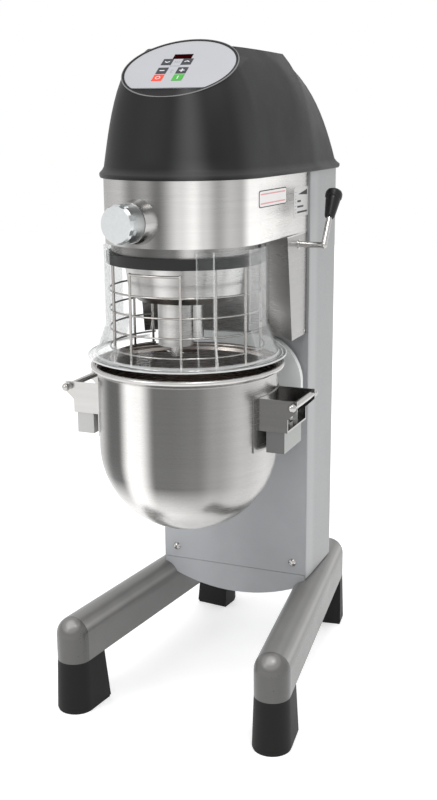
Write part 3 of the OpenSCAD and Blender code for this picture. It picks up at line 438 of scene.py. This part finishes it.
def head_painted_light(m):
    # Painted reflection bands above the guard band's top; below it, painted shade on the neck by how it
    # faces, lighter on the ledge that faces up.
    wall = m.around(HEAD_REFLECTION_STOPS, STEEL)
    facing = m.facing()
    neck = m.mix(m.fall(facing["Y"], -0.6, -0.2), NECK_SIDE_SHADE, NECK_FRONT_SHADE)
    neck = m.mix(m.rise(facing["Z"], 0.4, 0.6), neck, NECK_LEDGE_HIGHLIGHT)
    below = m.fall(m.place()["Z"], BAND_HIGH.z - 4 * MM, BAND_HIGH.z - 1 * MM)
    return m.mix(below, wall, neck)


def bowl_painted_light(m):
    # Painted reflections outside, one painted reflection level on the rim, and painted shade on the inside.
    place, facing = m.place(), m.facing()
    depth = BOWL_HIGH.z - BOWL_LOW.z
    start, end = [BOWL_LOW.z + share * depth for share in BOWL_BELLY_TOP]
    wall = m.around(BOWL_WALL_REFLECTION_STOPS, STEEL)
    belly = m.around(BOWL_BELLY_REFLECTION_STOPS, STEEL)
    outside = m.mix(m.rise(place["Z"], start, end), belly, wall)
    rim = m.rise(place["Z"], BOWL_HIGH.z - BOWL_RIM_EDGE[0], BOWL_HIGH.z - BOWL_RIM_EDGE[1])
    outward = m.add(m.times(facing["X"], m.minus(place["X"], MIX_AXIS.x)),
                    m.times(facing["Y"], m.minus(place["Y"], MIX_AXIS.y)))
    return m.mix(m.fall(outward, -0.01, 0.0), m.mix(rim, outside, BOWL_RIM_REFLECTION), BOWL_INSIDE_SHADE)


def drum_painted_reflections(m):
    return m.around(DRUM_REFLECTION_STOPS, STEEL)


def guard_band_painted_reflections(m):
    return m.around(GUARD_BAND_REFLECTION_STOPS, STEEL)


def two_sides(m):
    """Two shares, masks for painted light and shade: 0 on the left and 1 on the right, then 1 where the
    surface faces forward.
    """
    return m.rise(m.place()["X"], -SIDE_CHANGE, SIDE_CHANGE), m.fall(m.facing()["Y"], -0.8, -0.4)


def bracket_painted_light(m):
    right, front = two_sides(m)
    return m.mix(m.times(right, front), m.mix(right, BRACKET_LEFT_LIT, BRACKET_RIGHT_SHADE), BRACKET_FRONT_SHADE)


def arm_painted_light(m):
    right, front = two_sides(m)
    return m.mix(right, ARM_LEFT_LIT, m.mix(front, ARM_SIDE_SHADE, ARM_FRONT_SHADE))


def cover_painted_light(m):
    # Painted reflections round the sides, a painted glint just above the lower edge, and a painted
    # highlight where the cover faces up.
    height = m.place()["Z"]
    glint = m.times(m.span(height, 0.0, 0.12, COVER_LOW.z + 4 * MM, COVER_LOW.z + 8 * MM),
                    m.fall(height, COVER_LOW.z + 10 * MM, COVER_LOW.z + 22 * MM))
    side = m.mix(glint, m.around(COVER_REFLECTION_STOPS, COVER_GREY), WHITE)
    return m.mix(m.rise(m.facing()["Z"], 0.90, 0.97), side, WHITE)


def leg_painted_light(m):
    # Painted highlight and shade by how far the surface faces up.
    return m.ramp(m.rise(m.facing()["Z"], 0.0, 1.0), LEG_LIGHT_STOPS, WHITE)


def cap_painted_glint(m):
    """A painted glint where the rounded end faces up and forward."""
    facing = m.facing()
    right, ahead, up = CAP_GLINT
    level = m.minus(m.times(facing["X"], right), m.times(facing["Y"], ahead))
    toward = m.add(m.times(facing["Z"], up), level)
    return m.ramp(m.rise(toward, 0.0, 1.0), CAP_GLINT_STOPS, WHITE)


def column_painted_highlight(m):
    # A painted highlight near the front edges, and darker towards the back.
    back = m.minus(m.place()["Y"], COLUMN_LOW.y)
    return m.ramp(m.rise(back, 0.0, COLUMN_REACH), COLUMN_HIGHLIGHT_STOPS, MID_GREY)


def panel_painted_light(m):
    # Painted light, lighter on the left.
    across = m.rise(m.place()["X"], COLUMN_LOW.x, COLUMN_HIGH.x)
    return m.ramp(across, PANEL_LIGHT_STOPS, PANEL_GREY)


# ---------------------------------------------------------------- materials
# After the name come the colour and the roughness.
LEVEL = (0.02, 0.02, 1.0)  # streaks that run level

MATS = {
    "stainless": brushed("stainless", STEEL, 0.30, LEVEL, aniso=0.4, painted_shading=head_painted_light),
    "bowl_steel": brushed("bowl_steel", STEEL, 0.26, LEVEL, aniso=0.35, painted_shading=bowl_painted_light),
    "bracket_steel": brushed("bracket_steel", STEEL, 0.24, LEVEL, painted_shading=bracket_painted_light),
    "hub_steel": brushed("hub_steel", (0.50, 0.49, 0.48), 0.22, LEVEL),
    "band_steel": brushed("band_steel", STEEL, 0.26, LEVEL, painted_shading=guard_band_painted_reflections),
    "bright": brushed("bright", (0.46, 0.45, 0.44), 0.16, EVEN, streak=0.05),
    "wire": brushed("wire", (0.40, 0.385, 0.37), 0.16, EVEN, streak=0.05),
    "ground": brushed("ground", (0.55, 0.54, 0.53), 0.22, LEVEL),
    "satin_cast": brushed("satin_cast", STEEL, 0.30, LEVEL, aniso=0.3, painted_shading=drum_painted_reflections),
    "cap_steel": brushed("cap_steel", (0.60, 0.62, 0.625), 0.30, EVEN, streak=0.05),
    "gear": brushed("gear", (0.42, 0.40, 0.37), 0.35, EVEN),
    "iron": painted("iron", (0.20, 0.20, 0.20), 0.45, peel=0.1, vary=0.12),
    "column": painted("column", (0.45, 0.46, 0.467), 0.36, coat=0.1, painted_shading=column_painted_highlight),
    "panel": painted("panel", (0.37, 0.38, 0.397), 0.38, coat=0.1, painted_shading=panel_painted_light),
    "legs": painted("legs", (0.34, 0.336, 0.326), 0.34, coat=0.1, vary=0.08, painted_shading=leg_painted_light),
    "caps": painted("caps", (0.36, 0.353, 0.342), 0.32, coat=0.2, painted_shading=cap_painted_glint),
    "carriage": painted("carriage", (0.66, 0.68, 0.675), 0.42),
    "arms": painted("arms", WHITE, 0.40, painted_shading=arm_painted_light),
    "frame": painted("frame", (0.16, 0.17, 0.18), 0.5),
    "motor": painted("motor", (0.10, 0.13, 0.16), 0.45),
    "cover": moulded("cover", (0.128, 0.128, 0.129), 0.46, specular=0.16, painted_shading=cover_painted_light),
    "feet": moulded("feet", (0.008, 0.008, 0.008), 0.55, specular=0.16),
    "rubber": moulded("rubber", (0.012, 0.012, 0.012), 0.7),
    "ring": moulded("ring", (0.012, 0.012, 0.0125), 0.42),
    "knob": moulded("knob", (0.009, 0.009, 0.0095), 0.30, depth=0.03),
    "membrane": moulded("membrane", (0.37, 0.374, 0.394), 0.42, depth=0.02, vary=0.03),
    "display": moulded("display", (0.020, 0.0006, 0.001), 0.35, depth=0.005, specular=0.0),
    "dark_key": moulded("dark_key", (0.030, 0.031, 0.037), 0.40, depth=0.02),
    "red_key": moulded("red_key", (0.72, 0.055, 0.02), 0.40, depth=0.02),
    "green_key": moulded("green_key", (0.045, 0.33, 0.035), 0.40, depth=0.02),
    "white_ink": moulded("white_ink", (0.55, 0.56, 0.58), 0.4, depth=0.01),
    "grey_ink": moulded("grey_ink", (0.25, 0.26, 0.30), 0.4, depth=0.01),
    "black_ink": moulded("black_ink", (0.015, 0.015, 0.015), 0.4, depth=0.01),
    "red_ink": moulded("red_ink", (0.62, 0.28, 0.29), 0.4, depth=0.01),
    "plate": moulded("plate", (0.68, 0.67, 0.66), 0.35, depth=0.02),
    "bezel": moulded("bezel", (0.16, 0.16, 0.163), 0.40, depth=0.03),
    "sign": moulded("sign", (0.52, 0.515, 0.51), 0.35, depth=0.02),
    "clear": clear_sheet("clear"),
    "floor": painted("floor", (0.86, 0.86, 0.86), 0.6, vary=0.01, glow=0.42),
}

NODES_OF = {
    "legs": "left_leg right_leg",
    "caps": "leg_end_caps",
    "feet": "feet cable_gland gas_spring_cylinder",
    "rubber": "foot_soles drive_belt",
    "panel": "base_beam front_panel",
    "column": "column_cover",
    "cover": "top_cover",
    "frame": "inner_frame head_frame control_box",
    "motor": "motor",
    "iron": "motor_pulley driven_pulley slide_block",
    "membrane": "control_membrane",
    "display": "display_window",
    "dark_key": "speed_down_key speed_up_key time_down_key time_up_key",
    "red_key": "stop_key",
    "green_key": "start_key",
    "stainless": "head_housing",
    "hub_steel": "hub_housing",
    "cap_steel": "hub_cap",
    "band_steel": "guard_band",
    "ring": "guard_ring",
    "wire": "wire_guard",
    "clear": "clear_screen",
    "satin_cast": "planet_drum",
    "bowl_steel": "bowl",
    "bracket_steel": "bowl_brackets",
    "carriage": "bowl_carriage",
    "arms": "fork_arms",
    "bright": "cover_screws fixed_bearings tool_bearings bowl_handles carriage_bolts lift_lever lever_bush",
    "ground": "motor_shaft main_shaft tool_spindle tool_pin hub_shaft fork_pins guide_rods gas_spring_rod",
    "gear": "hub_crown_gear ring_gear tool_pinion lift_rack lift_gear",
    "knob": "lever_knob",
}

for mat_name, node_names in NODES_OF.items():
    for node_name in node_names.split():
        slots = frame["nodes"][node_name].data.materials
        slots.clear()
        slots.append(MATS[mat_name])

WELD = 0.02 * MM


def smooth(node, angle):
    """Rounds the shading of a faceted node, and keeps its edges sharper than the angle."""
    obj = frame["nodes"][node]
    me = obj.data
    if "custom_normal" in me.attributes:
        me.attributes.remove(me.attributes["custom_normal"])
    me.polygons.foreach_set("use_smooth", [True] * len(me.polygons))
    obj.modifiers.new("weld", "WELD").merge_threshold = WELD
    obj.modifiers.new("split", "EDGE_SPLIT").split_angle = math.radians(angle)


smooth("top_cover", 32)
smooth("feet", 30)

# ---------------------------------------------------------------- flat pieces
# Outlines are lists of (across, up) points in millimetres.


def finish_piece(name, bm, mat, body):
    bmesh.ops.recalc_face_normals(bm, faces=bm.faces)
    me = bpy.data.meshes.new(name)
    bm.to_mesh(me)
    bm.free()
    obj = bpy.data.objects.new(name, me)
    SCENE.collection.objects.link(obj)
    me.materials.append(MATS[mat])
    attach(obj, body)
    return obj


def slab(name, outlines, depth, place, across, up, mat, body, edge):
    """Thin flat pieces about a place, with softened edges. The depth and edge are in millimetres."""
    out = across.cross(up)
    bm = bmesh.new()
    for outline in outlines:
        low = [bm.verts.new(place + (across * x + up * y) * MM) for x, y in outline]
        high = [bm.verts.new(v.co + out * depth * MM) for v in low]
        bm.faces.new(list(reversed(low)))
        bm.faces.new(high)
        for k in range(len(low)):
            q = (k + 1) % len(low)
            bm.faces.new((low[k], low[q], high[q], high[k]))
    bevel = finish_piece(name, bm, mat, body).modifiers.new("edge", "BEVEL")
    bevel.width = edge * MM
    bevel.segments = 2


def rounded(cx, cy, w, h, r, steps=5):
    points = []
    for sx, sy, start in ((1, 1, 0), (-1, 1, 90), (-1, -1, 180), (1, -1, 270)):
        x, y = cx + sx * (w / 2 - r), cy + sy * (h / 2 - r)
        for k in range(steps + 1):
            a = math.radians(start + 90 * k / steps)
            points.append((x + r * math.cos(a), y + r * math.sin(a)))
    return points


def chevron(cy, w, h, thick, way):
    """An arrowhead that points up, or down where way is -1."""
    foot, tip = -h / 2, h / 2
    side = [(-w / 2, foot), (0, tip - thick), (w / 2, foot), (w / 2, foot + thick), (0, tip),
            (-w / 2, foot + thick)]
    return [(x, cy + way * y) for x, y in side]


def ring_blocks(r, thick, steps=20):
    """A flat ring as short touching blocks."""
    blocks = []
    for k in range(steps):
        a, b = [math.radians(360 * (k + d) / steps) for d in (0, 1)]
        corners = ((r - thick, a), (r, a), (r, b), (r - thick, b))
        blocks.append([(q * math.cos(t), q * math.sin(t)) for q, t in corners])
    return blocks


# ---------------------------------------------------------------- marks on the control panel
AXIS = {j["name"]: Vector(j["axis"]).normalized() for j in RECORD["behaviour"]["joints"]}
PANEL_OUT = -AXIS["press_start"]
PANEL_ACROSS = Vector((1, 0, 0))
PANEL_UP = PANEL_OUT.cross(PANEL_ACROSS)
INK = 0.12  # millimetres
INK_EDGE = 0.02
INK_LIFT = 0.02
FILM_LIFT = 0.35  # from the keys' middle plane to just above the film
MARK = 11  # the length of a key's mark
BAR = 3

KEYS = ("speed_down", "speed_up", "time_down", "time_up", "stop", "start")
KEY_BOX = {key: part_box(key + "_key") for key in KEYS}
KEY_MIDDLE = {key: (low + high) / 2 for key, (low, high) in KEY_BOX.items()}


def on_key(key, name, *outlines):
    """White marks on a key. Its thickness follows from its box, since it is tilted as the panel is."""
    low, high = KEY_BOX[key]
    size = high - low
    lean = abs(PANEL_OUT.y) / PANEL_OUT.z
    thick = (size.z - size.y * lean) / (PANEL_OUT.z - PANEL_OUT.y ** 2 / PANEL_OUT.z)
    place = KEY_MIDDLE[key] + PANEL_OUT * (abs(thick) / 2 + INK_LIFT * MM)
    slab(name, outlines, INK, place, PANEL_ACROSS, PANEL_UP, "white_ink", "key_" + key, INK_EDGE)


def between_keys(a, b, name, *outlines):
    """Grey marks on the film, about the point midway between two keys."""
    place = (KEY_MIDDLE[a] + KEY_MIDDLE[b]) / 2 + PANEL_OUT * FILM_LIFT * MM
    slab(name, outlines, INK, place, PANEL_ACROSS, PANEL_UP, "grey_ink", "machine", INK_EDGE)


on_key("speed_down", "slower_mark", chevron(-0.5, MARK, 6.5, 3.2, -1))
on_key("speed_up", "faster_mark", chevron(0.5, MARK, 6.5, 3.2, 1))
on_key("time_down", "less_mark", rounded(0, 0, MARK, BAR, 0.6))
on_key("time_up", "more_mark", rounded(-3.7, 0, 4.2, 2.8, 0.4), rounded(0, 0, BAR, MARK, 0.6),
       rounded(3.7, 0, 4.2, 2.8, 0.4))
on_key("stop", "stop_mark", *ring_blocks(5.6, 1.5))
on_key("start", "start_mark", rounded(0, 0, 2.4, MARK, 0.6))

between_keys("speed_down", "speed_up", "speed_marks",
             *[rounded(x, 0, 1.3, 8, 0.4) for x in (-4.5, 0, 4.5)], rounded(0, -15, 26, 1.3, 0.5))
between_keys("time_down", "time_up", "time_marks", rounded(0, 2, 6, 1.3, 0.4),
             rounded(-1, -3.5, 1.3, 5, 0.4), rounded(1.2, -8, 5, 1.2, 0.4))

# ---------------------------------------------------------------- the bead round the control panel
FILM_LOW, FILM_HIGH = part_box("control_membrane")
PANEL_LIP = 5.5 * MM
PANEL_A = (FILM_HIGH.x - FILM_LOW.x) / 2 + PANEL_LIP
PANEL_B = PANEL_A - 20 * MM
PANEL_MIDDLE = (KEY_MIDDLE["speed_down"] - PANEL_ACROSS * KEY_MIDDLE["speed_down"].x
                - PANEL_UP * 21 * MM)
BEAD_R = 1.3 * MM
BEAD_LIFT = 0.2 * MM


def panel_bead(name, mat, body, steps=120, around=10):
    """A thin round bead along the outer edge of the oval panel."""
    bm = bmesh.new()
    rows = []
    for k in range(steps):
        a = 2 * math.pi * k / steps
        c, s = math.cos(a), math.sin(a)
        edge = PANEL_MIDDLE + PANEL_ACROSS * c * PANEL_A + PANEL_UP * s * PANEL_B
        side = (PANEL_ACROSS * c * PANEL_B + PANEL_UP * s * PANEL_A).normalized()
        row = []
        for j in range(around):
            b = 2 * math.pi * j / around
            rise = PANEL_OUT * (BEAD_LIFT + math.sin(b) * BEAD_R)
            row.append(bm.verts.new(edge + rise + side * math.cos(b) * BEAD_R))
        rows.append(row)
    for k in range(steps):
        one, two = rows[k], rows[(k + 1) % steps]
        for j in range(around):
            q = (j + 1) % around
            bm.faces.new((one[j], two[j], two[q], one[q]))
    me = finish_piece(name, bm, mat, body).data
    me.polygons.foreach_set("use_smooth", [True] * len(me.polygons))


panel_bead("panel_edge_bead", "bezel", "machine")

# ---------------------------------------------------------------- plates on the head's flank
UP = Vector((0, 0, 1))
FLANK_FRONT = Vector((MIX_AXIS.y - HEAD_LOW.y, MIX_AXIS.y, 0))
FLANK_BACK = Vector((HEAD_HIGH.x, HEAD_HIGH.y, 0))
FLANK_LENGTH = (FLANK_BACK - FLANK_FRONT).length
FLANK = (FLANK_BACK - FLANK_FRONT).normalized()
PLATE_EDGE = 0.1  # millimetres
FOIL = 0.5  # thickness of a plate
PRINT = 0.15  # thickness of what is printed on it


def flank_point(along, down):
    """along is the share from the mixing axis to the rear, and down the share of the head's wall."""
    p = FLANK_FRONT + FLANK * FLANK_LENGTH * along
    return Vector((p.x, p.y, HEAD_HIGH.z - down * (HEAD_HIGH.z - BAND_HIGH.z)))


def flank_slab(name, centre, depth, lift, mat, *outlines):
    """Pieces that stand off the flank by the lift, in millimetres."""
    place = centre + FLANK.cross(UP) * lift * MM
    slab(name, outlines, depth, place, FLANK, UP, mat, "machine", PLATE_EDGE)


plate = flank_point(0.225, 0.326)
flank_slab("trim_plate_border", plate, FOIL, 0.05, "black_ink", rounded(0, 0, 150, 35, 6))
flank_slab("trim_plate", plate, 0.4, 0.45, "plate", rounded(0, 0, 146, 31, 5))
flank_slab("trim_plate_stripes", plate, PRINT, 0.85, "red_ink",
           *[rounded(0, y, 136, 2.6, 1.1) for y in (9.5, -9.5)])

sign = flank_point(0.845, 0.48)
wedge = [(-20, 17), (36, 26), (36, 14)]
bars = [rounded(-24 + w / 2, 2 - k * 12, w, 4, 0.6) for k, w in enumerate((22, 38, 60))]
ticks = [rounded(-34, 22 - k * 7.5, 7, 1.6, 0.4) for k in range(7)]
flank_slab("lift_sign", sign, FOIL, 0.05, "sign", rounded(0, 0, 86, 64, 4))
flank_slab("lift_sign_marks", sign, PRINT, 0.55, "black_ink", wedge, *bars)
flank_slab("lift_sign_scale", sign, PRINT, 0.55, "grey_ink", *ticks)

# ---------------------------------------------------------------- stage and light
FLOOR_REACH = 9.0


def make_floor():
    bm = bmesh.new()
    bmesh.ops.create_grid(bm, x_segments=8, y_segments=8, size=FLOOR_REACH)
    me = bpy.data.meshes.new("floor")
    bm.to_mesh(me)
    bm.free()
    obj = bpy.data.objects.new("floor", me)
    SCENE.collection.objects.link(obj)
    obj.location.z = LOW.z
    me.materials.append(MATS["floor"])


def make_world():
    world = bpy.data.worlds.new("studio")
    SCENE.world = world
    world.use_nodes = True
    nt = world.node_tree
    nt.nodes.clear()
    out = nt.nodes.new("ShaderNodeOutputWorld")
    bg = nt.nodes.new("ShaderNodeBackground")
    bg.inputs["Color"].default_value = (*WHITE, 1)
    bg.inputs["Strength"].default_value = 1.0
    nt.links.new(bg.outputs[0], out.inputs[0])


def area(name, place, target, width, height, power):
    light = bpy.data.lights.new(name, "AREA")
    light.shape = "RECTANGLE"
    light.size, light.size_y = width, height
    light.energy = power
    obj = bpy.data.objects.new(name, light)
    SCENE.collection.objects.link(obj)
    obj.location = place
    obj.rotation_euler = (Vector(target) - Vector(place)).to_track_quat("-Z", "Y").to_euler()


make_floor()
make_world()
area("key", (-1.6, -2.6, 2.6), (0, 0, 0.8), 1.2, 1.8, 24)
area("top", (0.7, -0.9, 2.9), (0.1, -0.2, 0.3), 0.7, 0.7, 16)
